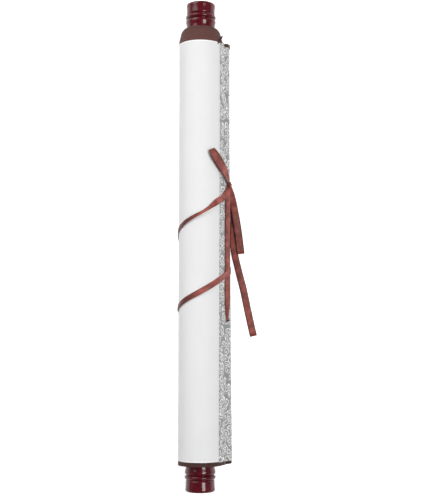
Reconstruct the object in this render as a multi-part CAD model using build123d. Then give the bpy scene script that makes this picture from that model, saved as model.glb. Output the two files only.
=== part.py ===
from build123d import *
import math
import os

# A hanging scroll, rolled up, tied with its ribbon and lying on its side. Millimetres, +Z up.
# The roll lies along Y. The stave at the outer end of the sheet lies beside it, on the +X side.
# The origin is on the surface that the scroll lies on, under the middle of its rigid pieces.

# ---- the mounted sheet, rolled up ----
sheet_width = 460.2  # edge to edge, with the bindings
sheet_thickness = 0.5  # painting, backing papers and silk, pasted together
binding_width = 4.6  # brown strip along each long edge of the sheet
roll_radius = 24.0  # the outer turn, where the sheet leaves the roll
roll_settle = 0.3  # how far the soft roll flattens under its own weight
# How far a turn has slipped along the roller, for its place between the innermost
# turn that clears the knob (0) and the outer turn (1). A turn keeps its width.
turn_slip = ((0.0, 7.0), (0.46, 5.0), (0.73, 2.0), (0.89, -2.5), (1.0, -7.0))
outer_turn_depth = 0.7  # the depth of the turns that lie level with the outer one

# ---- the roller and its two knobs ----
roller_radius = 12.0
roller_fit = 0.05  # between the roller and the first turn, and round the tenons
tenon_radius = 6.0
tenon_length = 18.0
tenon_end_gap = 1.0  # left for glue at the bottom of the knob's socket
knob_length = 35.1
knob_root_radius = 14.8  # the plain stretch that the inner turns close round
knob_turn_gap = 0.6  # between that stretch and the first turn that has slipped over it
# The turned outline: distance from the free end, and radius.
knob_lip = (1.9, 15.5)
knob_waist = (7.4, 14.95)
knob_upper_groove = (13.1, 14.8)
knob_bead = (15.5, 16.0)
knob_lower_groove = (18.0, 14.9)
knob_ring = (20.6, 15.85)
knob_neck = (26.0, 14.9)
knob_end_radius = 13.4  # the flat end face inside its rounded lip

# ---- the stave and the damask that covers it ----
stave_radius = 11.6  # a half-round bar of wood
stave_low_inset = 1.0  # from the outer turn's lower edge to the stave's end
stave_high_inset = 2.3
wrap_thickness = 0.5
wrap_settle = 0.2  # how far the cover is pressed flat where it touches the surface
stave_gap = 0.13  # between the cover and the roll
wrap_low_inset = 3.9  # from the outer turn's lower edge to where the damask meets the binding
wrap_high_inset = 3.6
cap_thickness = 0.5  # the binding closes over the stave's ends
flap_angle = 3.2  # degrees of the outer turn that the damask's edge overlaps
flap_thickness = 0.25

# ---- ribbons and eyelets ----
ribbon_width = 7.8
ribbon_thickness = 0.25
eyelet_wire_radius = 0.45
eyelet_ring_radius = 1.8
eyelet_shank_length = 7.0
eyelet_height = 1.6  # the ring's centre above the damask
# Each eyelet's place along the stave, and its angle round it, in degrees.
upper_eyelet_place = (66.4, 43.0)
lower_eyelet_place = (-84.4, 50.0)
ribbon_lift = 0.05  # from the damask to the hanging ribbon
end_knot_radius = 1.6
end_knot_reach = 3.2  # from an eyelet to the knot that ends the hanging ribbon
neck_radius = 0.7  # the ribbon bunched where it goes through an eyelet
neck_start = 4.0  # from an eyelet to where the ribbon reaches its full width
# Where the tie ribbon turns over the left and right sides of the bundle, along Y.
upper_front = (10.0, 58.0)
upper_back = (10.0, -31.0)
lower_front = (-72.0, -31.0)
return_back = (-72.0, 62.0)
turnover_height = 18.0  # the height at which a front stretch becomes a back one
bow_knot_size = (8.0, 11.0, 7.0)
bow_knot_rounding = 2.5
bow_loop_length = 38.0
bow_loop_width = 9.5
bow_loop_height = 1.3  # the two layers of the loop
bow_loop_heading = 122.0  # degrees from +X
# The tails: (x, y) seen from above from the roll's axis, and (y, z) seen from the side.
short_tail_plan = (
    (32.6, 64.0),
    (35.4, 51.0),
    (38.3, 36.0),
    (40.5, 23.0),
    (42.4, 9.0),
    (44.3, -10.3),
)
short_tail_side = ((66.0, 18.6), (50.0, 12.0), (36.0, 5.0), (24.0, 1.0), (9.0, 0.125), (-20.0, 0.13))
long_tail_plan = (
    (33.0, 61.0),
    (36.4, 50.0),
    (37.2, 38.0),
    (36.7, 22.0),
    (35.7, 8.0),
    (36.1, -5.0),
    (37.7, -14.0),
    (40.3, -23.5),
    (43.4, -37.0),
    (46.7, -48.6),
    (49.2, -61.0),
    (52.7, -77.6),
    (57.9, -100.8),
)
long_tail_side = ((63.0, 15.0), (50.0, 7.5), (40.0, 2.0), (30.0, 0.125), (0.0, 0.13), (-104.0, 0.125))

# ---- the section across the roll, worked out from the sizes above ----
# The outer turn is two half circles, so the turn ends one sheet inside where it starts.
upper_half_radius = roll_radius - sheet_thickness / 4
lower_half_radius = roll_radius - 3 * sheet_thickness / 4
half_offset = sheet_thickness / 4
roll_height = lower_half_radius - roll_settle
wrap_radius = stave_radius + wrap_thickness
stave_height = wrap_radius - wrap_settle
stave_distance = lower_half_radius + stave_gap + wrap_thickness
stave_offset = math.sqrt(stave_distance**2 - (roll_height - stave_height) ** 2) - half_offset
roll_left = half_offset - upper_half_radius
roll_x = -(roll_left + stave_offset + wrap_radius) / 2
stave_x = roll_x + stave_offset
# Unit vectors square to the stave's flat, away from the roll, and along it, upwards.
stave_out = Vector(stave_offset + half_offset, stave_height - roll_height).normalized()
stave_up = Vector(-stave_out.Y, stave_out.X)
stave_angle = math.degrees(math.atan2(stave_out.Y, stave_out.X))
knob_end = sheet_width / 2 + knob_length
outer_low_edge = turn_slip[-1][1] - sheet_width / 2
outer_high_edge = turn_slip[-1][1] + sheet_width / 2
stave_low_end = outer_low_edge + stave_low_inset
stave_high_end = outer_high_edge - stave_high_inset
wrap_low_end = outer_low_edge + wrap_low_inset
wrap_high_end = outer_high_edge - wrap_high_inset
beyond = 4 * roll_radius  # longer than any cut needs


def prism(face, low, high):
    """A section drawn across the roll, made solid from y = low to y = high."""
    return extrude(Plane.XZ.offset(-high) * face, amount=high - low)


def turned(outline):
    """A turned solid about the roll's axis, from its (radius, y) outline."""
    profile = make_face(Polyline(*outline, close=True))
    return Pos(roll_x, 0, roll_height) * revolve(profile, Axis.Y)


def slip_points():
    """(radius, slip) for each turn of the roll that is drawn, from the middle out."""
    inner = knob_root_radius + knob_turn_gap
    outer = roll_radius - outer_turn_depth
    points = [(roller_radius + roller_fit, 0.0), (knob_root_radius + knob_turn_gap / 3, 0.0)]
    points += [(inner + share * (outer - inner), slip) for share, slip in turn_slip]
    points.append((roll_radius + sheet_thickness, turn_slip[-1][1]))
    return points


def band_of_turns(low, high):
    """Every turn of the sheet between two distances from its middle line, as one solid."""
    slips = slip_points()
    lower = [(radius, low + slip) for radius, slip in slips]
    upper = [(radius, high + slip) for radius, slip in reversed(slips)]
    length = sheet_width / 2 + abs(turn_slip[-1][1]) + binding_width
    return turned(lower + upper) & prism(roll_section(), -length, length)


def above(height):
    """A face that covers everything above a height."""
    return Pos(0, height + beyond / 2) * Rectangle(3 * beyond, beyond)


def roll_section():
    """The roll across its axis: two half circles, with a small flat underneath."""
    upper = Pos(half_offset, 0) * Circle(upper_half_radius) & above(0)
    lower = Pos(-half_offset, 0) * Circle(lower_half_radius) - above(0)
    return Pos(roll_x, roll_height) * (upper + lower) & above(0)


def half_round(radius, back):
    """The stave's half-round section, with its flat side moved back towards the roll."""
    bar = Circle(radius) & (Pos(radius / 2, 0) * Rectangle(radius, 2 * radius))
    if back > 0:
        bar += Pos(-back / 2, 0) * Rectangle(back, 2 * radius)
    return Pos(stave_x, stave_height) * (Rot(0, 0, stave_angle) * bar)


def sheet_to_stave():
    """The sheet where it leaves the roll for the stave, with the edge of the damask over it."""
    centre = Vector(roll_x + half_offset, roll_height)
    corner = Vector(stave_x, stave_height) + stave_up * wrap_radius
    reach = corner - centre
    turn = math.acos(upper_half_radius / reach.length)
    leave = math.atan2(reach.Y, reach.X) + turn
    normal = Vector(math.cos(leave), math.sin(leave))
    start = centre + normal * upper_half_radius
    along = (corner - start).normalized()
    end = corner + along * wrap_thickness
    top = normal * flap_thickness
    under = normal * -sheet_thickness
    corners = [start + top, end + top, end + under, start + under]
    bridge = make_face(Polyline(*[(c.X, c.Y) for c in corners], close=True))
    ring = Circle(upper_half_radius + flap_thickness) - Circle(upper_half_radius)
    first = math.degrees(leave)
    far = 2 * roll_radius
    rays = [first, first + flap_angle]
    tips = [(far * math.cos(math.radians(a)), far * math.sin(math.radians(a))) for a in rays]
    wedge = make_face(Polyline((0, 0), tips[0], tips[1], close=True))
    return bridge + Pos(centre.X, centre.Y) * (ring & wedge)


def cover_section():
    """The cover round the stave and on to the roll, without the stave itself."""
    cover = half_round(wrap_radius, wrap_thickness) + sheet_to_stave()
    return (cover - half_round(stave_radius, 0) - roll_section()) & above(0)


def knob_outline():
    """The knob's half outline as (radius, y), for the knob at +Y."""
    def at(place):
        return (place[1], knob_end - place[0])

    root = sheet_width / 2
    barrel = Spline(at(knob_lip), at(knob_waist), at(knob_upper_groove), tangents=((0.3, -1), (-0.2, -1)))
    lip = ThreePointArc((knob_end_radius, knob_end), at((0.55, 14.95)), at(knob_lip))
    bead = ThreePointArc(at(knob_upper_groove), at(knob_bead), at(knob_lower_groove))
    ring = Spline(at(knob_lower_groove), at(knob_ring), at(knob_neck), tangents=((1, -0.6), (0, -1)))
    socket = tenon_radius + roller_fit
    depth = root + tenon_length + tenon_end_gap
    inside = Polyline(
        at(knob_neck),
        (knob_root_radius, root),
        (socket, root),
        (socket, depth),
        (0, depth),
        (0, knob_end),
        (knob_end_radius, knob_end),
    )
    return lip + barrel + bead + ring + inside


def upper_knob():
    knob = revolve(make_face(knob_outline()), Axis.Y)
    return Pos(roll_x, 0, roll_height) * knob


def roller():
    rod = sheet_width / 2
    end = rod + tenon_length
    return turned(
        [
            (0, -end),
            (tenon_radius, -end),
            (tenon_radius, -rod),
            (roller_radius, -rod),
            (roller_radius, rod),
            (tenon_radius, rod),
            (tenon_radius, end),
            (0, end),
        ]
    )


def bindings():
    """The brown strips: (lower, upper). Each turns with the sheet and closes over the stave's end."""
    edge = sheet_width / 2
    low = band_of_turns(-edge, binding_width - edge)
    high = band_of_turns(edge - binding_width, edge)
    solid_end = cover_section() + half_round(stave_radius, 0)
    low += prism(cover_section(), stave_low_end, wrap_low_end)
    low += prism(solid_end, stave_low_end - cap_thickness, stave_low_end)
    high += prism(cover_section(), wrap_high_end, stave_high_end)
    high += prism(solid_end, stave_high_end, stave_high_end + cap_thickness)
    return low, high


def round_stave(distance, angle):
    """The (x, z) point at a distance from the stave's centre line, at an angle above level."""
    turn = math.radians(angle)
    return (stave_x + distance * math.cos(turn), stave_height + distance * math.sin(turn))


def eyelet(place):
    """A black wire ring on a shank, driven into the stave."""
    y, angle = place
    x, z = round_stave(wrap_radius + eyelet_height, angle)
    ring = Plane.XZ * Torus(eyelet_ring_radius, eyelet_wire_radius)
    middle = -(eyelet_ring_radius + eyelet_shank_length / 2)
    shank = Pos(middle, 0, 0) * (Rot(0, 90, 0) * Cylinder(eyelet_wire_radius, eyelet_shank_length))
    return Pos(x, y, z) * (Rot(0, -angle, 0) * (ring + shank))


def plan_band(start, end, width, height):
    """An upright slab over the straight line between two (x, y) points."""
    middle = ((start[0] + end[0]) / 2, (start[1] + end[1]) / 2)
    length = math.dist(start, end)
    heading = math.degrees(math.atan2(end[1] - start[1], end[0] - start[0]))
    return Pos(*middle, 0) * (Rot(0, 0, heading) * Box(length, width, height))


def hanging_ribbon():
    """The ribbon that the scroll hangs by, along the stave from eyelet to eyelet."""
    inner = wrap_radius + ribbon_lift
    (low, low_angle), (high, high_angle) = lower_eyelet_place, upper_eyelet_place
    start = (round_stave(inner, low_angle)[0], low + neck_start)
    end = (round_stave(inner, high_angle)[0], high - neck_start)
    seen_width = ribbon_width * math.sin(math.radians((low_angle + high_angle) / 2))
    skin = Pos(stave_x, stave_height) * (Circle(inner + ribbon_thickness) - Circle(inner))
    skin = skin & above(stave_height)
    band = prism(skin, low, high) & plan_band(start, end, seen_width, beyond)
    ribbon = band
    for (y, angle), way in ((lower_eyelet_place, -1), (upper_eyelet_place, 1)):
        near = round_stave(inner + ribbon_thickness / 2, angle)
        far = round_stave(wrap_radius + eyelet_height, angle)
        inside = Vector(near[0], y - way * (neck_start + 1.5), near[1])
        tip = Vector(far[0], y + way * end_knot_reach, far[1])
        along = tip - inside
        neck = Plane(origin=inside + along * 0.5, z_dir=along) * Cylinder(neck_radius, along.length)
        ribbon += neck + Pos(tip) * Sphere(end_knot_radius)
    cover = cover_section() + half_round(stave_radius, 0)
    return ribbon - prism(cover, low - beyond, high + beyond)


def bundle_section(extra):
    """The tight outline of roll, stave and hanging ribbon together, and a ribbon round them."""
    over_stave = wrap_radius + ribbon_lift + ribbon_thickness + ribbon_lift
    large, small = roll_radius + extra, over_stave + extra
    a, b = Vector(roll_x, roll_height), Vector(stave_x, stave_height)
    between = b - a
    heading = math.atan2(between.Y, between.X)
    spread = math.acos((large - small) / between.length)
    normals = [Vector(math.cos(heading + s), math.sin(heading + s)) for s in (spread, -spread)]
    corners = [a + normals[0] * large, b + normals[0] * small]
    corners += [b + normals[1] * small, a + normals[1] * large]
    middle = make_face(Polyline(*[(c.X, c.Y) for c in corners], close=True))
    whole = Pos(a.X, a.Y) * Circle(large) + Pos(b.X, b.Y) * Circle(small) + middle
    return whole & above(max(ribbon_thickness - extra, 0))


def wound(y_left, y_right, front):
    """One stretch of the tie ribbon, over the bundle or under it, from side to side."""
    ring = bundle_section(ribbon_thickness) - bundle_section(0)
    half = ring & above(turnover_height) if front else ring - above(turnover_height)
    start = (roll_x - roll_radius, y_left)
    end = (stave_x + wrap_radius, y_right)
    run = Vector(end[0] - start[0], end[1] - start[1])
    longer = run.normalized() * ribbon_width
    start = (start[0] - longer.X, start[1] - longer.Y)
    end = (end[0] + longer.X, end[1] + longer.Y)
    return prism(half, -beyond, beyond) & plan_band(start, end, ribbon_width, 2 * beyond)


def smooth_route(points):
    """Straight runs joined by arcs, each as large as its two runs allow."""
    radii = []
    for before, here, after in zip(points, points[1:], points[2:]):
        first = Vector(here[0] - before[0], here[1] - before[1])
        second = Vector(after[0] - here[0], after[1] - here[1])
        half_turn = math.radians(first.get_angle(second)) / 2
        radii.append(0.45 * min(first.length, second.length) / math.tan(half_turn))
    print("arc radii:", [round(r, 1) for r in radii])
    return FilletPolyline(*points, radius=radii)


def tail(plan, side):
    """A free end of the tie ribbon: its path seen from above, at its height seen from the side."""
    placed = [(roll_x + x, y) for x, y in plan]
    footprint = extrude(trace(smooth_route(placed), ribbon_width), amount=beyond)
    sheet = trace(smooth_route(side), ribbon_thickness)
    drop = extrude(Plane.YZ * sheet, amount=2 * beyond, both=True)
    return footprint & drop


def tie_ribbon(others):
    """The ribbon wound twice round the bundle and tied in a bow with one loop."""
    ribbon = wound(*upper_front, True) + wound(*upper_back, False)
    ribbon += wound(*lower_front, True) + wound(*return_back, False)
    knot_x = stave_x + wrap_radius - 0.8
    knot_y = upper_eyelet_place[0] - 4.0
    knot = Pos(knot_x, knot_y, turnover_height + 1.0) * Box(*bow_knot_size)
    knot = fillet(knot.edges(), bow_knot_rounding)
    heading = math.radians(bow_loop_heading)
    loop_start = (knot_x - 1.0, knot_y + 2.0)
    loop_end = (
        loop_start[0] + bow_loop_length * math.cos(heading),
        loop_start[1] + bow_loop_length * math.sin(heading),
    )
    over = bundle_section(bow_loop_height) - bundle_section(0)
    loop = prism(over & above(turnover_height), -beyond, 2 * beyond)
    loop &= plan_band(loop_start, loop_end, bow_loop_width, 2 * beyond)
    loose = knot + tail(short_tail_plan, short_tail_side) + tail(long_tail_plan, long_tail_side)
    loose -= prism(bundle_section(0), -2 * beyond, 2 * beyond)
    return ribbon + loop + loose - others


def main():
    os.makedirs("parts", exist_ok=True)
    upper_eyelet = eyelet(upper_eyelet_place)
    lower_eyelet = eyelet(lower_eyelet_place)
    eyelets = upper_eyelet + lower_eyelet
    hanging = hanging_ribbon() - eyelets
    tie = tie_ribbon(eyelets + hanging)
    lower_binding, upper_binding = bindings()
    edge = sheet_width / 2 - binding_width
    knob = upper_knob()
    nodes = {
        "roller": roller(),
        "paper_roll": band_of_turns(-edge, edge) - tie,
        "lower_edge_binding": lower_binding,
        "upper_edge_binding": upper_binding,
        "upper_knob": knob,
        "lower_knob": mirror(knob, about=Plane.XZ),
        "stave": prism(half_round(stave_radius, 0), stave_low_end, stave_high_end) - eyelets,
        "stave_cover": prism(cover_section(), wrap_low_end, wrap_high_end) - tie - eyelets,
        "upper_eyelet": upper_eyelet,
        "lower_eyelet": lower_eyelet,
        "hanging_ribbon": hanging,
        "tie_ribbon": tie,
    }
    for name, shape in nodes.items():
        shape.label = name
        export_step(shape, f"parts/{name}.step")


main()
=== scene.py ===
import math

import bmesh
import bpy
from bpy.props import FloatProperty, FloatVectorProperty, IntProperty, PointerProperty
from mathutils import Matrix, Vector


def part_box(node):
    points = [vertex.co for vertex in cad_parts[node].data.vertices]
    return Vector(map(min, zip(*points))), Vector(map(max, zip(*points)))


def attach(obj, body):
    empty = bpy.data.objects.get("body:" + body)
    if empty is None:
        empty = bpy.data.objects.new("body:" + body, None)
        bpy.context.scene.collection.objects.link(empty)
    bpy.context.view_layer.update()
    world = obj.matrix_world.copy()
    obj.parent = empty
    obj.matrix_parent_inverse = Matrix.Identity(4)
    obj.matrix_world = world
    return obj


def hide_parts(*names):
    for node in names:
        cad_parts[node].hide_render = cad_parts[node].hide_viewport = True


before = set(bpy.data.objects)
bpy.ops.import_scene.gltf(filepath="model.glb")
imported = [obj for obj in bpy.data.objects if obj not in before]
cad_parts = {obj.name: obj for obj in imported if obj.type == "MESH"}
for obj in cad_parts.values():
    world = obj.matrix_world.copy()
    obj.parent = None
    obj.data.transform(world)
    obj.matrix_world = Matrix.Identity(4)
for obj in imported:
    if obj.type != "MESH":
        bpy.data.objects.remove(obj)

bl_info = {
    "name": "Rolled Hanging Scroll",
    "version": (1, 0, 0),
    "blender": (4, 5, 0),
    "location": "3D View > Sidebar > Scroll",
    "description": "A hanging scroll, rolled up, tied with its ribbon and lying on its side",
    "category": "Object",
}

# The roll's axis, and the stave's middle line, as (x, z).
ROLLER_LOW, ROLLER_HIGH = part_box("roller")
ROLL_AXIS = ((ROLLER_LOW[0] + ROLLER_HIGH[0]) / 2, (ROLLER_LOW[2] + ROLLER_HIGH[2]) / 2)
STAVE_AXIS = (0.01646, 0.0119)
STAVE_RADIUS = 0.0121  # with its cover
EDGE_ROW = 0.00015  # the row of faces next to a sheet's edge
COVER_LIFT = 0.00022  # from the outer turn to the edge of the damask
COVER_LOW, COVER_HIGH = -0.2332, 0.2182  # the damask's ends, along the scroll
COVER_THICKNESS = 0.0004
BAR_INSET = 0.0006  # of the wooden stave inside its cover
LOWEST = 0.0001  # of the stave's ends above the surface
COVER_LOWEST = 0.0005
RIBBON_LOWEST = 0.00015
RIBBON_ROWS = 6  # faces across a ribbon
TURN_STEPS = 64  # faces along one turn of the sheet

# How far the covered stave reaches outwards from its flat, along its length, and the angle of
# the outer turn that the edge of the damask overlaps.
STAVE_REACH = (
    (-0.240, 0.0125),
    (-0.170, 0.0118),
    (-0.100, 0.0112),
    (0.000, 0.0102),
    (0.100, 0.0096),
    (0.240, 0.0095),
)
FLAP_ANGLE = ((-0.240, 9.0), (-0.100, 7.5), (0.050, 4.5), (0.240, 3.0))

LAMP_TARGET = (0.0, 0.15, 0.0)

# Distance from the middle of the roll, and how far the turns there have slipped along it.
TURN_SLIP = (
    (0.0120, 0.0),
    (0.0144, 0.0),
    (0.0154, 0.0070),
    (0.0190, 0.0050),
    (0.0212, 0.0020),
    (0.0224, -0.0025),
    (0.0233, -0.0070),
    (0.0250, -0.0070),
)

KNOB_SHARE = 1.035  # of the outline's radii

# The knob's turned outline, from its free end inwards: distance along, and radius.
KNOB_OUTLINE = (
    (0.0000, 0.0000),
    (0.0000, 0.0126),
    (0.0002, 0.0139),
    (0.0008, 0.0149),
    (0.0019, 0.0155),
    (0.0034, 0.01535),
    (0.0054, 0.0151),
    (0.0080, 0.01495),
    (0.0110, 0.0149),
    (0.0124, 0.01485),
    (0.0129, 0.0137),
    (0.0133, 0.0137),
    (0.0136, 0.0151),
    (0.0143, 0.0158),
    (0.0155, 0.0161),
    (0.0167, 0.0158),
    (0.0175, 0.0151),
    (0.0178, 0.0136),
    (0.0182, 0.0136),
    (0.0186, 0.0151),
    (0.0193, 0.0157),
    (0.0206, 0.01590),
    (0.0226, 0.0156),
    (0.0244, 0.0151),
    (0.0260, 0.0149),
    (0.0300, 0.0148),
    (0.0351, 0.0148),
)

# ---- ribbons: control points, and the way that the ribbon faces at each ----
WRAP_ROUTE = (
    # out along the loop of the bow
    ((0.0262, 0.0640, 0.0210), (0.75, 0.10, 0.60), 0.50),
    ((0.0250, 0.0690, 0.0252), (0.70, 0.20, 0.70), 0.62),
    ((0.0218, 0.0738, 0.0312), (0.66, 0.20, 0.72), 0.86),
    ((0.0180, 0.0790, 0.0368), (0.60, 0.20, 0.78), 1.04),
    ((0.0134, 0.0865, 0.0434), (0.50, 0.15, 0.84), 1.14),
    ((0.0102, 0.0925, 0.0466), (0.38, 0.12, 0.92), 1.16),
    ((0.0080, 0.0972, 0.0483), (0.30, 0.20, 0.93), 1.02),
    # the fold, and back underneath
    ((0.0070, 0.0992, 0.0470), (-0.45, 0.85, 0.25), 0.66),
    ((0.0090, 0.0965, 0.0458), (-0.30, -0.12, -0.94), 1.02),
    ((0.0144, 0.0905, 0.0424), (-0.45, -0.12, -0.88), 1.02),
    ((0.0190, 0.0840, 0.0368), (-0.55, -0.14, -0.82), 1.04),
    ((0.0228, 0.0770, 0.0306), (-0.62, -0.16, -0.76), 0.86),
    ((0.0256, 0.0705, 0.0250), (-0.70, -0.10, -0.70), 0.56),
    ((0.0264, 0.0650, 0.0212), (-0.40, 0.60, 0.40), 0.44),
    # over the top of the roll for the first time
    ((0.0260, 0.0595, 0.0214), (0.60, 0.20, 0.77), 0.60),
    ((0.0238, 0.0535, 0.0256), (0.60, 0.30, 0.75), 1.00),
    ((0.0181, 0.0475, 0.0338), (0.75, 0.30, 0.60), 1.02),
    ((0.0111, 0.0405, 0.0442), (0.55, 0.30, 0.78), 0.76),
    ((0.0030, 0.0338, 0.0482), (0.25, 0.20, 0.95), 0.38),
    ((-0.0057, 0.0288, 0.0493), (0.00, 0.10, 1.00), 0.42),
    ((-0.0145, 0.0245, 0.0474), (-0.40, 0.00, 0.92), 0.50),
    ((-0.0230, 0.0195, 0.0420), (-0.67, 0.00, 0.74), 0.52),
    ((-0.0305, 0.0115, 0.0271), (-0.99, 0.00, 0.14), 0.66),
    ((-0.0270, 0.0010, 0.0098), (-0.86, 0.00, -0.50), 0.86),
    ((-0.0132, -0.0075, 0.0003), (-0.20, 0.00, -0.97), 1.00),
    ((-0.0012, -0.0150, 0.0003), (0.00, 0.00, -1.00), 1.00),
    ((0.0136, -0.0210, 0.0003), (0.00, 0.00, -1.00), 1.00),
    ((0.0200, -0.0245, 0.0003), (0.20, 0.00, -0.97), 1.00),
    ((0.0256, -0.0275, 0.0030), (0.75, 0.00, -0.66), 1.00),
    ((0.0282, -0.0290, 0.0090), (0.98, 0.00, -0.15), 0.96),
    # and for the second time
    ((0.0278, -0.0305, 0.0158), (0.95, 0.00, 0.30), 0.86),
    ((0.0240, -0.0335, 0.0236), (0.84, 0.00, 0.54), 0.84),
    ((0.0181, -0.0388, 0.0334), (0.84, 0.00, 0.54), 0.80),
    ((0.0111, -0.0448, 0.0441), (0.58, 0.00, 0.82), 0.78),
    ((-0.0057, -0.0548, 0.0494), (-0.17, 0.00, 0.98), 0.76),
    ((-0.0222, -0.0630, 0.0427), (-0.82, 0.00, 0.57), 0.72),
    ((-0.0305, -0.0705, 0.0271), (-0.99, 0.00, -0.17), 0.74),
    ((-0.0270, -0.0735, 0.0098), (-0.86, 0.00, -0.50), 0.86),
    ((-0.0132, -0.0600, 0.0002), (-0.20, 0.00, -0.97), 1.00),
    ((-0.0012, -0.0350, 0.0002), (0.00, 0.00, -1.00), 1.00),
    ((0.0136, 0.0050, 0.0002), (0.00, 0.00, -1.00), 1.00),
    ((0.0200, 0.0250, 0.0002), (0.20, 0.00, -0.97), 1.00),
    ((0.0256, 0.0420, 0.0030), (0.75, 0.00, -0.66), 0.96),
    ((0.0282, 0.0530, 0.0090), (0.98, 0.00, -0.15), 0.80),
    ((0.0276, 0.0600, 0.0165), (0.95, 0.00, 0.30), 0.60),
)
SHORT_TAIL_ROUTE = (
    ((0.0272, 0.0630, 0.0192), (0.50, 0.30, 0.80), 0.55),
    ((0.0289, 0.0560, 0.0170), (0.25, 0.40, 0.85), 0.80),
    ((0.0304, 0.0480, 0.0127), (0.10, 0.45, 0.88), 1.00),
    ((0.0327, 0.0360, 0.0062), (0.05, 0.40, 0.92), 1.05),
    ((0.0350, 0.0230, 0.0024), (0.02, 0.20, 0.98), 1.10),
    ((0.0370, 0.0090, 0.0012), (0.00, 0.05, 1.00), 1.12),
    ((0.0391, -0.0103, 0.0010), (0.00, 0.00, 1.00), 1.14),
)
LONG_TAIL_ROUTE = (
    ((0.0268, 0.0620, 0.0170), (0.50, 0.30, 0.80), 0.55),
    ((0.0290, 0.0550, 0.0130), (0.20, 0.50, 0.84), 0.80),
    ((0.0308, 0.0460, 0.0080), (0.10, 0.45, 0.89), 0.98),
    ((0.0318, 0.0360, 0.0028), (0.00, 0.35, 0.94), 1.00),
    ((0.0317, 0.0220, 0.0005), (0.00, 0.05, 1.00), 1.00),
    ((0.0312, 0.0080, 0.0004), (0.00, 0.00, 1.00), 1.00),
    ((0.0316, -0.0050, 0.0004), (0.00, 0.00, 1.00), 1.00),
    ((0.0332, -0.0140, 0.0006), (0.00, 0.00, 1.00), 0.98),
    ((0.0356, -0.0235, 0.0010), (0.05, 0.00, 1.00), 0.96),
    ((0.0388, -0.0370, 0.0010), (-0.04, 0.00, 1.00), 0.98),
    ((0.0420, -0.0486, 0.0006), (0.00, 0.00, 1.00), 1.00),
    ((0.0445, -0.0610, 0.0004), (0.00, 0.00, 1.00), 1.00),
    ((0.0479, -0.0776, 0.0006), (0.00, 0.00, 1.00), 1.00),
    ((0.0531, -0.1008, 0.0004), (0.00, 0.00, 1.00), 1.00),
)
HANGING_ROUTE = (
    ((0.0255, 0.0668, 0.0212), (0.73, 0.00, 0.68), 0.24),
    ((0.0249, 0.0620, 0.0209), (0.66, 0.00, 0.75), 0.60),
    ((0.0248, 0.0540, 0.0220), (0.72, 0.00, 0.69), 1.08),
    ((0.0246, 0.0300, 0.0223), (0.74, 0.00, 0.67), 1.08),
    ((0.0245, 0.0000, 0.0226), (0.74, 0.00, 0.67), 1.08),
    ((0.0244, -0.0300, 0.0228), (0.74, 0.00, 0.67), 1.08),
    ((0.0243, -0.0560, 0.0230), (0.74, 0.00, 0.67), 1.08),
    ((0.0242, -0.0720, 0.0230), (0.72, 0.00, 0.69), 0.92),
    ((0.0241, -0.0785, 0.0230), (0.68, 0.00, 0.73), 0.50),
    ((0.0246, -0.0850, 0.0230), (0.64, 0.00, 0.77), 0.32),
)
# Where the upper binding lifts off the roll at the stave's corner, and the edge of it that goes
# on to the stave.
CORNER_ROUTE = (
    ((0.0135, 0.2160, 0.0384), (0.62, 0.00, 0.78), 0.10),
    ((0.0156, 0.2195, 0.0378), (0.50, 0.00, 0.86), 0.32),
    ((0.0176, 0.2230, 0.0368), (0.50, 0.00, 0.86), 0.32),
    ((0.0190, 0.2260, 0.0360), (0.50, 0.00, 0.86), 0.14),
)
BRIDGE_ROUTE = (
    ((0.0172, 0.2208, 0.0362), (0.92, 0.00, 0.39), 0.14),
    ((0.0194, 0.2195, 0.0312), (0.92, 0.00, 0.39), 0.16),
    ((0.0216, 0.2182, 0.0260), (0.92, 0.00, 0.39), 0.16),
    ((0.0229, 0.2176, 0.0232), (0.80, 0.00, 0.60), 0.16),
)
KNOT_PLACE = (0.0266, 0.0635, 0.0204)
KNOT_SIZE = (0.0026, 0.0034, 0.0030)


def length_property(name, description, default):
    return FloatProperty(name=name, description=description, default=default, unit="LENGTH")


class ScrollSizes(bpy.types.PropertyGroup):
    """Sizes of the scroll that can be changed."""

    outer_radius: length_property("Outer radius", "The roll's outermost turn", 0.024)
    core_radius: length_property("Core radius", "The innermost turn, on the roller", 0.01225)
    sheet_thickness: length_property("Sheet thickness", "Painting, papers and silk", 0.0005)
    turns: IntProperty(name="Turns", description="How often the sheet goes round", default=19)
    half_width: length_property("Half width", "From the sheet's middle to its edge", 0.2301)
    binding_width: length_property("Binding width", "The brown strip along each edge", 0.0046)
    ribbon_width: length_property("Ribbon width", "The satin ribbon, flat", 0.0078)
    ribbon_thickness: length_property("Ribbon thickness", "The satin ribbon", 0.00025)


def colour_property(name, description, default):
    return FloatVectorProperty(
        name=name,
        description=description,
        default=default,
        subtype="COLOR",
        min=0.0,
        max=1.0,
        size=3,
    )


class ScrollColours(bpy.types.PropertyGroup):
    """Colours of the scroll that can be changed."""

    paper: colour_property("Paper", "The roll's white backing paper", (0.86, 0.86, 0.86))
    binding: colour_property("Binding", "The brown silk along the edges", (0.150, 0.062, 0.052))
    damask_ground: colour_property("Damask ground", "Grey silk between figures", (0.32, 0.32, 0.32))
    damask_figure: colour_property("Damask figure", "Pale silk of the figures", (0.86, 0.86, 0.85))
    ribbon: colour_property("Ribbon", "The red brown satin ribbon", (0.300, 0.074, 0.058))
    lacquer: colour_property("Lacquer", "The wine red knobs", (0.105, 0.005, 0.011))
    wood: colour_property("Wood", "The bare roller and stave", (0.50, 0.34, 0.20))
    wire: colour_property("Wire", "The black eyelets", (0.012, 0.012, 0.013))


# ---- materials ----


def new_material(name):
    material = bpy.data.materials.new(name)
    material.use_nodes = True
    tree = material.node_tree
    principled = tree.nodes["Principled BSDF"]
    return material, tree, principled


def add(tree, kind, **values):
    """A node with its properties set, and its inputs set by their names."""
    node = tree.nodes.new(kind)
    for key, value in values.items():
        if hasattr(node, key):
            setattr(node, key, value)
        else:
            node.inputs[key].default_value = value
    return node


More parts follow.
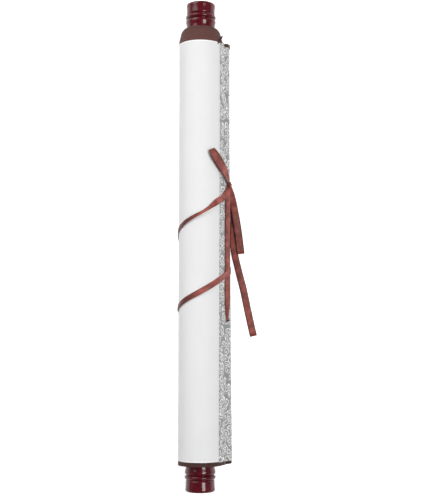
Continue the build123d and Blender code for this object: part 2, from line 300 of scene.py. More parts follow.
def math_node(tree, operation, *inputs, clamp=False):
    node = tree.nodes.new("ShaderNodeMath")
    node.operation = operation
    node.use_clamp = clamp
    for place, value in zip(node.inputs, inputs):
        if isinstance(value, bpy.types.NodeSocket):
            tree.links.new(value, place)
        else:
            place.default_value = value
    return node.outputs[0]


def smooth_step(tree, value, low, high):
    node = tree.nodes.new("ShaderNodeMapRange")
    node.interpolation_type = "SMOOTHSTEP"
    tree.links.new(value, node.inputs["Value"])
    node.inputs["From Min"].default_value = low
    node.inputs["From Max"].default_value = high
    return node.outputs["Result"]


def mixed(tree, factor, first, second):
    """A colour mixed from two, which may be colours or sockets."""
    node = tree.nodes.new("ShaderNodeMix")
    node.data_type = "RGBA"
    places = (node.inputs[0], node.inputs[6], node.inputs[7])
    for place, value in zip(places, (factor, first, second)):
        if isinstance(value, bpy.types.NodeSocket):
            tree.links.new(value, place)
        elif place is node.inputs[0]:
            place.default_value = value
        else:
            place.default_value = (*value[:3], 1.0)
    return node.outputs[2]


def bumped(tree, height, strength, distance):
    node = tree.nodes.new("ShaderNodeBump")
    tree.links.new(height, node.inputs["Height"])
    node.inputs["Strength"].default_value = strength
    node.inputs["Distance"].default_value = distance
    return node.outputs["Normal"]


def shader_group(name, inputs, outputs):
    """A node group with named sockets, and its input and output nodes."""
    group = bpy.data.node_groups.new(name, "ShaderNodeTree")
    for label, kind, default in inputs:
        socket = group.interface.new_socket(label, in_out="INPUT", socket_type=kind)
        if default is not None:
            socket.default_value = default
    for label, kind in outputs:
        group.interface.new_socket(label, in_out="OUTPUT", socket_type=kind)
    return group, group.nodes.new("NodeGroupInput"), group.nodes.new("NodeGroupOutput")


def use_group(tree, group, vector, **values):
    node = tree.nodes.new("ShaderNodeGroup")
    node.node_tree = group
    tree.links.new(vector, node.inputs["Vector"])
    for key, value in values.items():
        node.inputs[key.replace("_", " ")].default_value = value
    return node


def thread_weave_group():
    """Crossed threads: a height, for cloth whose vector is measured in metres."""
    group, start, end = shader_group(
        "Thread Weave",
        [("Vector", "NodeSocketVector", None), ("Threads", "NodeSocketFloat", 3000.0)],
        [("Height", "NodeSocketFloat")],
    )
    split = group.nodes.new("ShaderNodeSeparateXYZ")
    group.links.new(start.outputs["Vector"], split.inputs[0])
    rows = []
    for axis in (0, 1):
        turned = math_node(group, "MULTIPLY", split.outputs[axis], start.outputs["Threads"])
        rows.append(math_node(group, "SINE", turned))
    height = math_node(group, "MULTIPLY", rows[0], rows[1])
    group.links.new(math_node(group, "MULTIPLY_ADD", height, 0.5, 0.5), end.inputs["Height"])
    return group


def cloud_figure_group():
    """Curling clouds with rings round them, as a mask from 0 to 1."""
    group, start, end = shader_group(
        "Cloud Figures",
        [("Vector", "NodeSocketVector", None), ("Scale", "NodeSocketFloat", 130.0)],
        [("Figure", "NodeSocketFloat"), ("Line", "NodeSocketFloat")],
    )
    warp = add(group, "ShaderNodeTexNoise", noise_dimensions="2D", Scale=110.0, Detail=1.0)
    group.links.new(start.outputs["Vector"], warp.inputs["Vector"])
    shift = group.nodes.new("ShaderNodeVectorMath")
    shift.operation = "MULTIPLY_ADD"
    group.links.new(warp.outputs["Color"], shift.inputs[0])
    shift.inputs[1].default_value = (0.007, 0.007, 0.0)
    group.links.new(start.outputs["Vector"], shift.inputs[2])
    cells = add(group, "ShaderNodeTexVoronoi", voronoi_dimensions="2D", Randomness=0.85)
    group.links.new(shift.outputs[0], cells.inputs["Vector"])
    group.links.new(start.outputs["Scale"], cells.inputs["Scale"])
    away = group.nodes.new("ShaderNodeVectorMath")
    away.operation = "SUBTRACT"
    group.links.new(shift.outputs[0], away.inputs[0])
    group.links.new(cells.outputs["Position"], away.inputs[1])
    parts = group.nodes.new("ShaderNodeSeparateXYZ")
    group.links.new(away.outputs[0], parts.inputs[0])
    angle = math_node(group, "ARCTAN2", parts.outputs[1], parts.outputs[0])
    rings = math_node(group, "MULTIPLY", cells.outputs["Distance"], 17.0)
    curl = math_node(group, "SINE", math_node(group, "ADD", rings, angle))
    figure = smooth_step(group, curl, -0.12, 0.25)
    rim = smooth_step(group, cells.outputs["Distance"], 0.62, 0.50)
    group.links.new(math_node(group, "MULTIPLY", figure, rim), end.inputs["Figure"])
    line = math_node(group, "ABSOLUTE", math_node(group, "ADD", curl, 0.05))
    group.links.new(smooth_step(group, line, 0.30, 0.05), end.inputs["Line"])
    return group


def coordinates(tree, output):
    return tree.nodes.new("ShaderNodeTexCoord").outputs[output]


def paper_material(colours):
    material, tree, principled = new_material("Mounting Paper")
    place = coordinates(tree, "Object")
    cloudy = add(tree, "ShaderNodeTexNoise", Scale=45.0, Detail=3.0)
    fibres = add(tree, "ShaderNodeTexNoise", Scale=2600.0, Detail=4.0)
    for node in (cloudy, fibres):
        tree.links.new(place, node.inputs["Vector"])
    shade = [0.965 * c for c in colours.paper]
    body = mixed(tree, cloudy.outputs["Fac"], colours.paper, shade)
    across = tree.nodes.new("ShaderNodeSeparateXYZ")
    tree.links.new(coordinates(tree, "UV"), across.inputs[0])
    # Painted highlight: the paper turns lighter in a thin line along its edge, next to the binding.
    rim = smooth_step(tree, math_node(tree, "ABSOLUTE", across.outputs[1]), 0.2238, 0.2248)
    tree.links.new(mixed(tree, rim, body, (0.97, 0.97, 0.97)), principled.inputs["Base Color"])
    tree.links.new(bumped(tree, fibres.outputs["Fac"], 0.12, 0.0001), principled.inputs["Normal"])
    principled.inputs["Roughness"].default_value = 0.72
    principled.inputs["Specular IOR Level"].default_value = 0.25
    return material


def binding_material(colours, weave):
    material, tree, principled = new_material("Binding Silk")
    threads = use_group(tree, weave, coordinates(tree, "UV"), Threads=9000.0)
    noise = add(tree, "ShaderNodeTexNoise", Scale=300.0, Detail=3.0)
    tree.links.new(coordinates(tree, "Object"), noise.inputs["Vector"])
    dark = [0.72 * c for c in colours.binding]
    body = mixed(tree, noise.outputs["Fac"], colours.binding, dark)
    across = tree.nodes.new("ShaderNodeSeparateXYZ")
    tree.links.new(coordinates(tree, "UV"), across.inputs[0])
    from_middle = math_node(tree, "ABSOLUTE", across.outputs[1])
    # Painted shade: a dark line along the binding's inner edge, next to the paper, and a dark band
    # along its outer edge.
    inner_edge_shadow = smooth_step(tree, from_middle, 0.2262, 0.2256)
    outer_edge_shade = smooth_step(tree, from_middle, 0.2294, 0.2300)
    painted_edge_shade = math_node(tree, "MAXIMUM", inner_edge_shadow, outer_edge_shade)
    # Painted shade: the lower binding, below the middle line, is darkened all over.
    lower = smooth_step(tree, across.outputs[1], 0.1, -0.1)
    edges_and_painted_shade = math_node(tree, "MULTIPLY", painted_edge_shade, math_node(tree, "MULTIPLY_ADD", lower, 0.6, 0.4))
    edges_and_painted_shade = math_node(tree, "MAXIMUM", edges_and_painted_shade, math_node(tree, "MULTIPLY", lower, 0.72))
    shadow = [0.25 * c for c in colours.binding]
    tree.links.new(mixed(tree, edges_and_painted_shade, body, shadow), principled.inputs["Base Color"])
    weft = bumped(tree, threads.outputs["Height"], 0.35, 0.0001)
    tree.links.new(weft, principled.inputs["Normal"])
    principled.inputs["Roughness"].default_value = 0.8
    principled.inputs["Specular IOR Level"].default_value = 0.25
    principled.inputs["Sheen Weight"].default_value = 0.15
    return material


def damask_material(colours, weave, clouds):
    material, tree, principled = new_material("Damask")
    place = coordinates(tree, "UV")
    figures = use_group(tree, clouds, place)
    threads = use_group(tree, weave, place, Threads=12000.0)
    colour = mixed(tree, figures.outputs["Figure"], colours.damask_ground, colours.damask_figure)
    line = [0.55 * c for c in colours.damask_ground]
    thin = math_node(tree, "MULTIPLY", figures.outputs["Line"], 0.75)
    tree.links.new(mixed(tree, thin, colour, line), principled.inputs["Base Color"])
    gloss = math_node(tree, "MULTIPLY_ADD", figures.outputs["Figure"], -0.15, 0.55)
    tree.links.new(gloss, principled.inputs["Roughness"])
    raised = figures.outputs["Figure"]
    height = math_node(tree, "MULTIPLY_ADD", threads.outputs["Height"], 0.4, raised)
    tree.links.new(bumped(tree, height, 0.4, 0.0001), principled.inputs["Normal"])
    principled.inputs["Specular IOR Level"].default_value = 0.3
    principled.inputs["Sheen Weight"].default_value = 0.1
    return material


def ribbon_material(colours):
    material, tree, principled = new_material("Ribbon Satin")
    place = coordinates(tree, "UV")
    stretch = add(tree, "ShaderNodeMapping")
    stretch.inputs["Scale"].default_value = (60.0, 5200.0, 1.0)
    tree.links.new(place, stretch.inputs["Vector"])
    threads = add(tree, "ShaderNodeTexNoise", Scale=1.0, Detail=2.0)
    tree.links.new(stretch.outputs[0], threads.inputs["Vector"])
    # Painted light and shade of small folds: paler and darker patches of the satin, from noise.
    fold_light_noise = add(tree, "ShaderNodeTexNoise", Scale=120.0, Detail=2.0)
    tree.links.new(coordinates(tree, "Object"), fold_light_noise.inputs["Vector"])
    painted_fold_light = smooth_step(tree, fold_light_noise.outputs["Fac"], 0.35, 0.70)
    pale = [1.35 * c for c in colours.ribbon]
    dark = [0.66 * c for c in colours.ribbon]
    body = mixed(tree, painted_fold_light, dark, pale)
    across = tree.nodes.new("ShaderNodeSeparateXYZ")
    tree.links.new(place, across.inputs[0])
    from_middle = math_node(tree, "ABSOLUTE", across.outputs[1])
    selvedge = smooth_step(tree, from_middle, 0.0028, 0.0036)
    # Painted shade: faces turned to the left, away from the overhead lamp, are darkened.
    facing = tree.nodes.new("ShaderNodeSeparateXYZ")
    tree.links.new(tree.nodes.new("ShaderNodeNewGeometry").outputs["Normal"], facing.inputs[0])
    leftwards = smooth_step(tree, facing.outputs[0], 0.05, -0.50)
    painted_shade_turned_away = math_node(tree, "MULTIPLY", leftwards, 0.8)
    # Dark colour of the selvedges, which also serves as the colour of the painted shade.
    edge = [0.30 * c for c in colours.ribbon]
    edges_and_painted_shade = math_node(tree, "MAXIMUM", selvedge, painted_shade_turned_away)
    tree.links.new(mixed(tree, edges_and_painted_shade, body, edge), principled.inputs["Base Color"])
    tree.links.new(bumped(tree, threads.outputs["Fac"], 0.5, 0.0002), principled.inputs["Normal"])
    principled.inputs["Roughness"].default_value = 0.42
    principled.inputs["Anisotropic"].default_value = 0.5
    principled.inputs["Specular IOR Level"].default_value = 0.25
    return material


def lacquer_material(colours):
    material, tree, principled = new_material("Lacquer")
    place = coordinates(tree, "Object")
    stretch = add(tree, "ShaderNodeMapping")
    stretch.inputs["Scale"].default_value = (1.0, 0.12, 1.0)
    tree.links.new(place, stretch.inputs["Vector"])
    grain = add(tree, "ShaderNodeTexNoise", Scale=420.0, Detail=4.0)
    tree.links.new(stretch.outputs[0], grain.inputs["Vector"])
    streak = smooth_step(tree, grain.outputs["Fac"], 0.35, 0.65)
    dark = [0.7 * c for c in colours.lacquer]
    red = [1.2 * c for c in colours.lacquer]
    tree.links.new(mixed(tree, streak, dark, red), principled.inputs["Base Color"])
    principled.inputs["Roughness"].default_value = 0.45
    principled.inputs["Specular IOR Level"].default_value = 0.0
    principled.inputs["Coat Weight"].default_value = 1.0
    principled.inputs["Coat IOR"].default_value = 1.42
    principled.inputs["Coat Roughness"].default_value = 0.16
    return material


def wood_material(colours):
    material, tree, principled = new_material("Bare Wood")
    stretch = add(tree, "ShaderNodeMapping")
    stretch.inputs["Scale"].default_value = (1.0, 0.06, 1.0)
    tree.links.new(coordinates(tree, "Object"), stretch.inputs["Vector"])
    grain = add(tree, "ShaderNodeTexNoise", Scale=500.0, Detail=5.0)
    tree.links.new(stretch.outputs[0], grain.inputs["Vector"])
    dark = [0.6 * c for c in colours.wood]
    body = mixed(tree, grain.outputs["Fac"], colours.wood, dark)
    tree.links.new(body, principled.inputs["Base Color"])
    tree.links.new(bumped(tree, grain.outputs["Fac"], 0.3, 0.0002), principled.inputs["Normal"])
    principled.inputs["Roughness"].default_value = 0.65
    return material


def wire_material(colours):
    material, tree, principled = new_material("Black Wire")
    noise = add(tree, "ShaderNodeTexNoise", Scale=900.0, Detail=2.0)
    tree.links.new(coordinates(tree, "Object"), noise.inputs["Vector"])
    worn = [2.5 * c for c in colours.wire]
    body = mixed(tree, noise.outputs["Fac"], colours.wire, worn)
    tree.links.new(body, principled.inputs["Base Color"])
    principled.inputs["Metallic"].default_value = 0.6
    principled.inputs["Roughness"].default_value = 0.35
    return material


def make_materials():
    colours = bpy.context.scene.scroll_colours
    weave = thread_weave_group()
    clouds = cloud_figure_group()
    return {
        "mounting_paper": paper_material(colours),
        "binding_silk": binding_material(colours, weave),
        "damask": damask_material(colours, weave, clouds),
        "ribbon_satin": ribbon_material(colours),
        "lacquer": lacquer_material(colours),
        "bare_wood": wood_material(colours),
        "black_wire": wire_material(colours),
    }


def finish_of(slot):
    """The material for one of the record's slots, made when it is first asked for."""
    names = {
        "mounting_paper": "Mounting Paper",
        "binding_silk": "Binding Silk",
        "damask": "Damask",
        "ribbon_satin": "Ribbon Satin",
        "lacquer": "Lacquer",
        "bare_wood": "Bare Wood",
        "black_wire": "Black Wire",
    }
    if names[slot] not in bpy.data.materials:
        make_materials()
    return bpy.data.materials[names[slot]]


# ---- pieces ----


def make_piece(name, bm, slot, nodes=()):
    """A piece from a bmesh, with its finish, riding on the scroll."""
    mesh = bpy.data.meshes.new(name)
    bm.to_mesh(mesh)
    bm.free()
    for face in mesh.polygons:
        face.use_smooth = True
    piece = bpy.data.objects.new(name, mesh)
    bpy.context.scene.collection.objects.link(piece)
    mesh.materials.append(finish_of(slot))
    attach(piece, "root")
    if nodes:
        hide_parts(*nodes)
    return piece


def thicken(piece, thickness, offset):
    wall = piece.modifiers.new("Wall", "SOLIDIFY")
    wall.thickness = thickness
    wall.offset = offset


def shaped_grid(columns, rows, place):
    """A flat grid of faces moved into shape: place(column, row) gives a point and its UV."""
    bm = bmesh.new()
    bmesh.ops.create_grid(bm, x_segments=columns, y_segments=rows, size=1.0)
    uv = bm.loops.layers.uv.new("UVMap")
    spots = {}
    for vertex in bm.verts:
        column = round((vertex.co.x + 1) / 2 * columns)
        row = round((vertex.co.y + 1) / 2 * rows)
        vertex.co, spots[vertex] = place(column, row)
    for face in bm.faces:
        for loop in face.loops:
            loop[uv].uv = spots[loop.vert]
    return bm


def route_samples(points, resolution=6):
    """Points read along the NURBS line that has these control points."""
    curve = bpy.data.curves.new("Route", "CURVE")
    curve.dimensions = "3D"
    curve.resolution_u = resolution
    spline = curve.splines.new("NURBS")
    spline.points.add(len(points) - 1)
    for knot, point in zip(spline.points, points):
        knot.co = (*point, 1.0)
    spline.order_u = 3
    spline.use_endpoint_u = True
    holder = bpy.data.objects.new("Route", curve)
    mesh = bpy.data.meshes.new_from_object(holder)
    samples = [vertex.co.copy() for vertex in mesh.vertices]
    bpy.data.meshes.remove(mesh)
    bpy.data.objects.remove(holder)
    bpy.data.curves.remove(curve)
    return samples


def ribbon(name, route, crown=0.0002, nodes=(), slot="ribbon_satin"):
    """A ribbon along a route of (point, way it faces, share of its width).

    It returns the piece and its path.
    """
    path = route_samples([point for point, _, _ in route])
    faces = route_samples([facing for _, facing, _ in route])
    full = bpy.context.scene.scroll_sizes.ribbon_width
    widths = [full * w.x for w in route_samples([(share, 0.0, 0.0) for _, _, share in route])]
    lengths = [0.0]
    for before, here in zip(path, path[1:]):
        lengths.append(lengths[-1] + (here - before).length)
    last = len(path) - 1
    sides = []
    for i in range(last + 1):
        along = (path[min(i + 1, last)] - path[max(i - 1, 0)]).normalized()
        sides.append(along.cross(faces[i]).normalized())

    def place(column, row):
        share = row / RIBBON_ROWS - 0.5
        side = sides[column]
        along = (path[min(column + 1, last)] - path[max(column - 1, 0)]).normalized()
        out = side.cross(along).normalized()
        point = path[column] + side * (share * widths[column])
        point += out * (crown * (1 - 4 * share * share))
        point.z = max(point.z, RIBBON_LOWEST)
        return point, (lengths[column], share * widths[column])

    bm = shaped_grid(last, RIBBON_ROWS, place)
    bmesh.ops.recalc_face_normals(bm, faces=bm.faces)
    piece = make_piece(name, bm, slot, nodes)
    thicken(piece, bpy.context.scene.scroll_sizes.ribbon_thickness, 0.0)
    return piece, path


def slip_at(radius):
    for (r0, s0), (r1, s1) in zip(TURN_SLIP, TURN_SLIP[1:]):
        if radius <= r1:
            return s0 + (s1 - s0) * (radius - r0) / (r1 - r0)
    return TURN_SLIP[-1][1]


def stave_directions():
    """Unit vectors across the roll: square to the stave's flat, and along it, upwards."""
    out = Vector((STAVE_AXIS[0] - ROLL_AXIS[0], STAVE_AXIS[1] - ROLL_AXIS[1])).normalized()
    return out, Vector((-out.y, out.x))


def leaving_angle():
    """Where the sheet leaves the roll for the stave's upper corner."""
    _, up = stave_directions()
    corner = Vector(STAVE_AXIS) + up * STAVE_RADIUS
    reach = corner - Vector(ROLL_AXIS)
    radius = bpy.context.scene.scroll_sizes.outer_radius
    return math.atan2(reach.y, reach.x) + math.acos(min(1.0, radius / reach.length)), corner


def rolled_section():
    """(x, z, length along the sheet, radius) along the rolled sheet, from the stave inwards."""
    sizes = bpy.context.scene.scroll_sizes
    leave, corner = leaving_angle()
    axis = Vector(ROLL_AXIS)
    outer = sizes.outer_radius - sizes.sheet_thickness / 2
    inner = sizes.core_radius + sizes.sheet_thickness / 2
    pitch = (outer - inner) / sizes.turns
    tangent = axis + Vector((math.cos(leave), math.sin(leave))) * outer
    edge = corner - Vector((math.cos(leave), math.sin(leave))) * sizes.sheet_thickness / 2
    section = [(edge.lerp(tangent, k / 3), outer) for k in range(3)]
    for step in range(sizes.turns * TURN_STEPS + 1):
        turn = step / TURN_STEPS
        angle = leave + 2 * math.pi * turn
        radius = outer - pitch * turn
        point = axis + Vector((math.cos(angle), math.sin(angle))) * radius
        floor = 0.00030 + sizes.sheet_thickness / 2 + 0.00052 * max(0.0, turn - 0.55)
        point.y = max(point.y, floor)
        section.append((point, radius))
    lengths = [0.0]
    for (before, _), (here, _) in zip(section, section[1:]):
        lengths.append(lengths[-1] + (here - before).length)
    return [(p.x, p.y, s, r) for (p, r), s in zip(section, lengths)]


def row_places(low, high, rows):
    """Places across a strip, with one close to each edge so that the edges stay crisp."""
    inside = [low + (high - low) * row / rows for row in range(1, rows)]
    return [low, low + EDGE_ROW, *inside, high - EDGE_ROW, high]


def rolled_strip(name, low, high, rows, slot, nodes=(), first=0):
    """A strip of the rolled sheet between two distances from its middle line."""
    section = rolled_section()[first:]
    places = row_places(low, high, rows)

    def place(column, row):
        x, z, length, radius = section[column]
        return Vector((x, places[row] + slip_at(radius), z)), (length, places[row])

    bm = shaped_grid(len(section) - 1, len(places) - 1, place)
    bmesh.ops.recalc_face_normals(bm, faces=bm.faces)
    piece = make_piece(name, bm, slot, nodes)
    thicken(piece, bpy.context.scene.scroll_sizes.sheet_thickness, 0.0)
    return piece, section[-1][2]


def along_table(table, place):
    """A value read from (place, value) rows, straight between them."""
    for (p0, v0), (p1, v1) in zip(table, table[1:]):
        if place <= p1:
            return v0 + (v1 - v0) * (place - p0) / (p1 - p0)
    return table[-1][1]


def stave_outline(y, inset, steps=36):
    """Half-round points of the stave at y, from its upper corner to its lower one."""
    out, up = stave_directions()
    reach = along_table(STAVE_REACH, y)
    lowest = math.hypot(up.y * STAVE_RADIUS, out.y * reach)
    centre = Vector((STAVE_AXIS[0], lowest))
    points = []
    for step in range(steps + 1):
        angle = math.pi * step / steps
        along = up * math.cos(angle) * (STAVE_RADIUS - inset)
        points.append(centre + along + out * math.sin(angle) * (reach - inset))
    return points


def cover_outline(y):
    """Points across the cover: from its edge on the roll, over the stave and back up its flat."""
    sizes = bpy.context.scene.scroll_sizes
    leave, _ = leaving_angle()
    axis = Vector(ROLL_AXIS)
    out, _ = stave_directions()
    flap = math.radians(along_table(FLAP_ANGLE, y))
    points = []
    for step in range(5):
        angle = leave + flap * (1 - step / 4)
        across = Vector((math.cos(angle), math.sin(angle)))
        points.append(axis + across * (sizes.outer_radius + COVER_LIFT))
    stave = stave_outline(y, 0.0)
    lift = Vector((math.cos(leave), math.sin(leave))) * COVER_LIFT
    points.append(points[-1].lerp(stave[0] + lift, 0.5))
    points += stave
    back = out * -COVER_THICKNESS
    points.append(stave[-1] + back)
    points.append(stave[0].lerp(stave[-1], 0.03) + back)
    return points


def stave_strip(name, low, high, rows, slot, nodes=()):
    places = row_places(low, high, rows)
    outlines = [cover_outline(y) for y in places]
    lengths = [0.0]
    for before, here in zip(outlines[0], outlines[0][1:]):
        lengths.append(lengths[-1] + (here - before).length)

    def place(column, row):
        point = outlines[row][column]
        height = max(point.y, COVER_LOWEST)
        return Vector((point.x, places[row], height)), (lengths[column], places[row])

    bm = shaped_grid(len(lengths) - 1, len(places) - 1, place)
    for face in bm.faces:
        face.normal_flip()
    bm.normal_update()
    piece = make_piece(name, bm, slot, nodes)
    thicken(piece, COVER_THICKNESS, -1.0)
    return piece, lengths[-1]


def stave_prism(name, low, high, inset, slot, nodes=()):
    """A closed length of the half-round stave, which narrows as its outline does."""
    bm = bmesh.new()
    start, target = (
        [Vector((p.x, max(p.y, LOWEST))) for p in stave_outline(y, inset)] for y in (low, high)
    )
    end = bm.faces.new([bm.verts.new((p.x, low, p.y)) for p in start])
    order = {vertex.co.copy().freeze(): k for k, vertex in enumerate(end.verts)}
    grown = bmesh.ops.extrude_face_region(bm, geom=[end])
    for vertex in [v for v in grown["geom"] if isinstance(v, bmesh.types.BMVert)]:
        point = target[order[vertex.co.copy().freeze()]]
        vertex.co = (point.x, high, point.y)
    bm.faces.ensure_lookup_table()
    bmesh.ops.recalc_face_normals(bm, faces=bm.faces)
    uv = bm.loops.layers.uv.new("UVMap")
    for face in bm.faces:
        for loop in face.loops:
            loop[uv].uv = (loop.vert.co.x, loop.vert.co.z + loop.vert.co.y)
    piece = make_piece(name, bm, slot, nodes)
    for face in piece.data.polygons:
        face.use_smooth = False
    return piece


def turned_knob(name, way, node):
    """A knob, spun round the roller's axis from its outline. way is 1 for the upper end."""
    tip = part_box(node)[1 if way > 0 else 0][1]
    bm = bmesh.new()
    line = [
        bm.verts.new((ROLL_AXIS[0], tip - way * distance, ROLL_AXIS[1] + KNOB_SHARE * radius))
        for distance, radius in KNOB_OUTLINE
    ]
    edges = [bm.edges.new(pair) for pair in zip(line, line[1:])]
    bmesh.ops.spin(
        bm,
        geom=line + edges,
        cent=(ROLL_AXIS[0], 0.0, ROLL_AXIS[1]),
        axis=(0.0, 1.0, 0.0),
        angle=2 * math.pi,
        steps=96,
        use_merge=True,
    )
    bmesh.ops.remove_doubles(bm, verts=bm.verts, dist=1e-6)
    rims = [e for e in bm.edges if e.is_boundary]
    if rims:
        bmesh.ops.contextual_create(bm, geom=rims)
    bmesh.ops.recalc_face_normals(bm, faces=bm.faces)
    return make_piece(name, bm, "lacquer", [node])


# ---- the steps ----


class SCROLL_OT_stage(bpy.types.Operator):
    """Set up the floor, the lights and the camera."""

    bl_idname = "scroll.stage"
    bl_label = "Stage"

    def execute(self, context):
        scene = context.scene
        camera = bpy.data.objects.new("Camera", bpy.data.cameras.new("Camera"))
        camera.data.lens = 74.81
        camera.data.clip_start = 0.05
        camera.location = (0.0136, -0.1069, 1.134)
        camera.rotation_euler = (math.radians(5.24), 0.0, 0.0)
        scene.collection.objects.link(camera)
        scene.camera = camera

        bm = bmesh.new()
        bmesh.ops.create_grid(bm, x_segments=1, y_segments=1, size=3.0)
        mesh = bpy.data.meshes.new("Floor")
        bm.to_mesh(mesh)
        bm.free()
        floor = bpy.data.objects.new("Floor", mesh)
        scene.collection.objects.link(floor)
        mesh.materials.append(self.floor_material())

        world = bpy.data.worlds.new("World")
        scene.world = world
        world.use_nodes = True
        self.room(world.node_tree)
        self.lamp(scene, "Overhead", (1.22, -0.10, 2.2), 1.2, 1.0, 7.8, 76.0)
        self.lamp(scene, "Left fill", (-1.1, 1.1, 1.1), 1.6, 1.5, 6.2, 80.0)
        scene.view_settings.view_transform = "Standard"
        return {"FINISHED"}

    def room(self, tree):
        """A pale studio with a darker ceiling, which the camera sees as white."""
        direction = tree.nodes.new("ShaderNodeSeparateXYZ")
        tree.links.new(coordinates(tree, "Generated"), direction.inputs[0])
        height = smooth_step(tree, direction.outputs[2], 0.1, 0.9)
        rays = tree.nodes.new("ShaderNodeLightPath")
        colour = mixed(tree, height, (0.36, 0.36, 0.36), (0.10, 0.10, 0.103))
        background = tree.nodes["Background"]
        seen = mixed(tree, rays.outputs["Is Camera Ray"], colour, (1.0, 1.0, 1.0))
        tree.links.new(seen, background.inputs["Color"])

    def lamp(self, scene, name, place, width, depth, power, spread):
        data = bpy.data.lights.new(name, "AREA")
        data.shape = "RECTANGLE"
        data.size = width
        data.size_y = depth
        data.energy = power
        data.spread = math.radians(spread)
        lamp = bpy.data.objects.new(name, data)
        lamp.location = place
        beam = Vector(LAMP_TARGET) - lamp.location
        lamp.rotation_euler = beam.to_track_quat("-Z", "Y").to_euler()
        scene.collection.objects.link(lamp)

    def floor_material(self):
        """White under the camera, with the faint shadow of what lies on it."""
        material, tree, principled = new_material("Floor")
        noise = add(tree, "ShaderNodeTexNoise", Scale=20.0)
        tree.links.new(coordinates(tree, "Object"), noise.inputs["Vector"])
        colour = mixed(tree, noise.outputs["Fac"], (0.90, 0.90, 0.90), (0.88, 0.88, 0.88))
        tree.links.new(colour, principled.inputs["Base Color"])
        principled.inputs["Roughness"].default_value = 0.9
        principled.inputs["Specular IOR Level"].default_value = 0.1
        rays = tree.nodes.new("ShaderNodeLightPath")
        seen = rays.outputs["Is Camera Ray"]
        for kind in ("Is Glossy Ray", "Is Transmission Ray"):
            seen = math_node(tree, "MAXIMUM", seen, rays.outputs[kind])
        principled.inputs["Emission Color"].default_value = (1.0, 1.0, 1.0, 1.0)
        glow = math_node(tree, "MULTIPLY", seen, 0.68)
        tree.links.new(glow, principled.inputs["Emission Strength"])
        return material


class SCROLL_OT_ribbons(bpy.types.Operator):
    """Wind the tie ribbon round the bundle, and hang the other between its eyelets."""

    bl_idname = "scroll.ribbons"
    bl_label = "Ribbons"

    def execute(self, context):
        tie, path = ribbon("tie_wraps", WRAP_ROUTE, nodes=["tie_ribbon"])
        knot = self.knot()
        short, path = ribbon("short_tail", SHORT_TAIL_ROUTE, nodes=["tie_ribbon"])
        long, path = ribbon("long_tail", LONG_TAIL_ROUTE, nodes=["tie_ribbon"])
        hanging, path = ribbon("hanging_loop", HANGING_ROUTE, nodes=["hanging_ribbon"])
        return {"FINISHED"}

    def knot(self):
        """The knot of the bow: a soft lump, pinched along its length."""
        bm = bmesh.new()
        bmesh.ops.create_uvsphere(bm, u_segments=24, v_segments=16, radius=1.0)
        for vertex in bm.verts:
            x, y, z = vertex.co
            pinch = 1.0 + 0.12 * math.sin(3.0 * math.atan2(z, x) + 4.0 * y)
            vertex.co = (
                KNOT_PLACE[0] + KNOT_SIZE[0] * x * pinch,
                KNOT_PLACE[1] + KNOT_SIZE[1] * y,
                KNOT_PLACE[2] + KNOT_SIZE[2] * z * pinch,
            )
        uv = bm.loops.layers.uv.new("UVMap")
        for face in bm.faces:
            for loop in face.loops:
                loop[uv].uv = (loop.vert.co.y, (loop.vert.co.x - 0.0268) * 0.5)
        bmesh.ops.recalc_face_normals(bm, faces=bm.faces)
        return make_piece("bow_knot", bm, "ribbon_satin", ["tie_ribbon"])


class SCROLL_OT_sheet(bpy.types.Operator):
    """Roll the mounted sheet and its brown bindings round the roller."""

    bl_idname = "scroll.sheet"
    bl_label = "Rolled sheet"

    def execute(self, context):
        sizes = context.scene.scroll_sizes
        white = sizes.half_width - sizes.binding_width
        edge = sizes.half_width
        paper, length = rolled_strip(
            "mounted_sheet", -white, white, 8, "mounting_paper", ["paper_roll"]
        )
        upper, _ = rolled_strip(
            "upper_binding_strip", white, edge, 3, "binding_silk", ["upper_edge_binding"], first=2
        )
        lower, _ = rolled_strip(
            "lower_binding_strip", -edge, -white, 3, "binding_silk", ["lower_edge_binding"]
        )
        return {"FINISHED"}


class SCROLL_OT_stave(bpy.types.Operator):
    """Cover the stave with damask, and close its ends with the binding."""

    bl_idname = "scroll.stave"
    bl_label = "Stave"

    def execute(self, context):
        bar = stave_prism("stave_bar", -0.2330, 0.2180, BAR_INSET, "bare_wood", ["stave"])
        cover, width = stave_strip(
            "damask_cover", COVER_LOW, COVER_HIGH, 16, "damask", ["stave_cover"]
        )
        # The cap's UVs fall mostly past the binding's outer edge, so it takes the painted edge
        # shade.
        stave_prism("upper_stave_cap", 0.2174, 0.2212, -0.0009, "binding_silk")
        # These two strips have UVs near the middle line, so the binding's painted inner-edge shadow
        # darkens them.
        ribbon("upper_binding_corner", CORNER_ROUTE, slot="binding_silk")
        ribbon("upper_binding_fold", BRIDGE_ROUTE, slot="binding_silk")
        # The lower cap takes the painted shade of the lower binding.
        stave_prism("lower_stave_cap", -0.2332, -0.2366, -0.0001, "binding_silk")
        return {"FINISHED"}


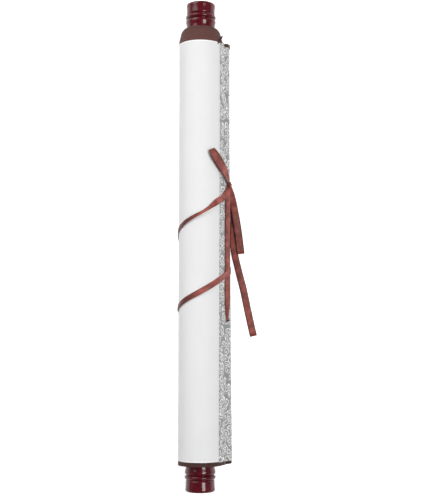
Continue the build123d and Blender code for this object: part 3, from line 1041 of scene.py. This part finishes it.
class SCROLL_OT_knobs(bpy.types.Operator):
    """Turn the two lacquered knobs."""

    bl_idname = "scroll.knobs"
    bl_label = "Knobs"

    def execute(self, context):
        turned_knob("upper_turned_knob", 1, "upper_knob")
        turned_knob("lower_turned_knob", -1, "lower_knob")
        return {"FINISHED"}


class SCROLL_OT_hardware(bpy.types.Operator):
    """Give the roller and the eyelets their finishes."""

    bl_idname = "scroll.hardware"
    bl_label = "Wood and wire"

    def execute(self, context):
        for node, slot in (
            ("roller", "bare_wood"),
            ("upper_eyelet", "black_wire"),
            ("lower_eyelet", "black_wire"),
        ):
            piece = bpy.data.objects[node]
            piece.data.materials.clear()
            piece.data.materials.append(finish_of(slot))
        return {"FINISHED"}


class SCROLL_PT_parts(bpy.types.Panel):
    """The steps that make the scroll."""

    bl_idname = "SCROLL_PT_parts"
    bl_label = "Hanging Scroll"
    bl_space_type = "VIEW_3D"
    bl_region_type = "UI"
    bl_category = "Scroll"

    def draw(self, context):
        for step in STEPS:
            self.layout.operator(step.bl_idname)
        for group in (context.scene.scroll_sizes, context.scene.scroll_colours):
            for name in group.__annotations__:
                self.layout.prop(group, name)


STEPS = (
    SCROLL_OT_stage,
    SCROLL_OT_ribbons,
    SCROLL_OT_sheet,
    SCROLL_OT_stave,
    SCROLL_OT_knobs,
    SCROLL_OT_hardware,
)
CLASSES = (ScrollSizes, ScrollColours, *STEPS, SCROLL_PT_parts)


def register():
    for cls in CLASSES:
        bpy.utils.register_class(cls)
    bpy.types.Scene.scroll_sizes = PointerProperty(type=ScrollSizes)
    bpy.types.Scene.scroll_colours = PointerProperty(type=ScrollColours)


def unregister():
    del bpy.types.Scene.scroll_colours
    del bpy.types.Scene.scroll_sizes
    for cls in reversed(CLASSES):
        bpy.utils.unregister_class(cls)


def main():
    register()
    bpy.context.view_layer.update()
    bpy.ops.scroll.stage()
    bpy.ops.scroll.ribbons()
    bpy.ops.scroll.sheet()
    bpy.ops.scroll.stave()
    bpy.ops.scroll.knobs()
    bpy.ops.scroll.hardware()
    bpy.context.view_layer.update()


if __name__ == "__main__":
    main()
